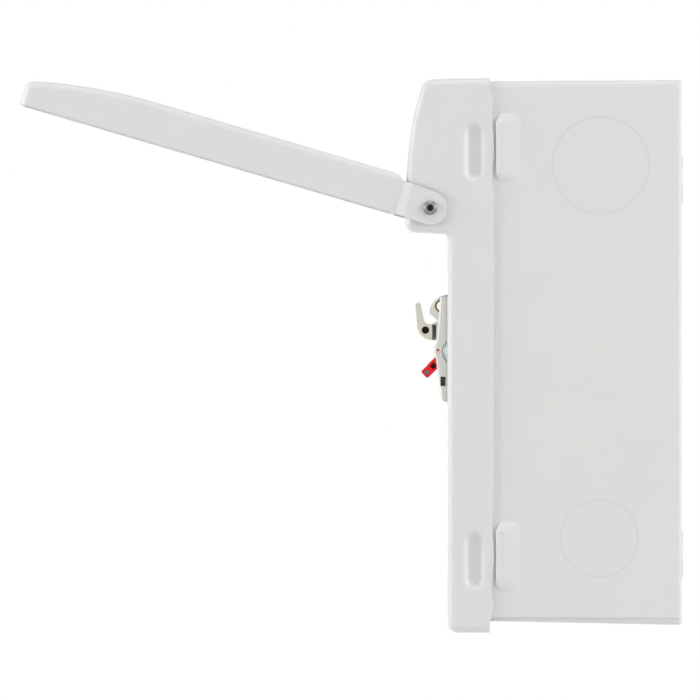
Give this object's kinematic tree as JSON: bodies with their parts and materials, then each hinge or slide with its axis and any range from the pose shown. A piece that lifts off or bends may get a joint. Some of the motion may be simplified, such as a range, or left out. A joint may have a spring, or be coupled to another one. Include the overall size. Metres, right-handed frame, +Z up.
{
  "type": "switch fuse unit",
  "caption": "Wall-mounted metal-clad switch fuse box with a hooded cover, a lid flap on side ears, a red-toggle isolator and a pull-out fuse carrier.",
  "frame": {"origin": "centre of the four wall fixings, on the plane of the wall", "axes": "+Z up, +Y into the wall, the front faces -Y, +X to the right seen from the front"},
  "size_m": [0.1366, 0.2787, 0.2329],
  "materials": {
    "case_paint": "pale grey powder coat",
    "zinc_steel": "bright zinc plate",
    "brass": "turned brass",
    "copper": "plain copper strip",
    "device_grey": "moulded light grey",
    "carrier_beige": "moulded beige",
    "toggle_red": "moulded signal red",
    "black_plastic": "moulded black",
    "fuse_ceramic": "unglazed white"
  },
  "bodies": {
    "case": {"back_box": "case_paint", "front_cover": "case_paint", "cover_pillars": "zinc_steel", "cover_screws": "zinc_steel", "lid_pivot_screws": "zinc_steel", "lid_pivot_nuts": "zinc_steel", "din_rail": "zinc_steel", "rail_brackets": "zinc_steel", "rail_screws": "zinc_steel", "isolator_rivets": "zinc_steel", "isolator_terminal_screws": "zinc_steel", "fuse_terminal_screws": "zinc_steel", "earth_bar": "brass", "earth_bar_screws": "brass", "earth_bar_posts": "brass", "isolator_terminal_cages": "brass", "fuse_terminal_cages": "brass", "seal_ferrules": "brass", "fuse_caps": "brass", "neutral_link": "brass", "isolator_line_contacts": "copper", "isolator_load_contacts": "copper", "fuse_jaws": "copper", "live_strap": "copper", "neutral_strap": "copper", "isolator_case_right": "device_grey", "isolator_case_left": "device_grey", "fuse_base": "device_grey", "fuse_side_plate": "device_grey", "fuse_carrier": "carrier_beige", "indicator_pins": "toggle_red", "handle_pin": "black_plastic", "lid_friction_washers": "black_plastic", "fuse_barrel": "fuse_ceramic"},
    "lid": {"lid_flap": "case_paint"},
    "toggle": {"toggle_lever": "toggle_red", "toggle_tie_pin": "zinc_steel", "toggle_spindle": "zinc_steel", "contact_blades": "copper"},
    "switch_clip": {"isolator_clip": "black_plastic"},
    "holder_clip": {"fuse_clip": "black_plastic"}
  },
  "joints": [
    {"name": "lid_hinge", "type": "hinge", "parent": "case", "child": "lid", "pos_m": [0, -0.1063, 0.0668], "axis": [1, 0, 0], "range_deg": [0, 106.34]},
    {"name": "toggle_hinge", "type": "hinge", "parent": "case", "child": "toggle", "pos_m": [0.0178, -0.0955, 0.0063], "axis": [-1, 0, 0], "range_deg": [0, 72]},
    {"name": "switch_clip_slide", "type": "slide", "parent": "case", "child": "switch_clip", "axis": [0, 0, -1], "range_m": [0, 0.0025]},
    {"name": "holder_clip_slide", "type": "slide", "parent": "case", "child": "holder_clip", "axis": [0, 0, -1], "range_m": [0, 0.0025]}
  ]
}
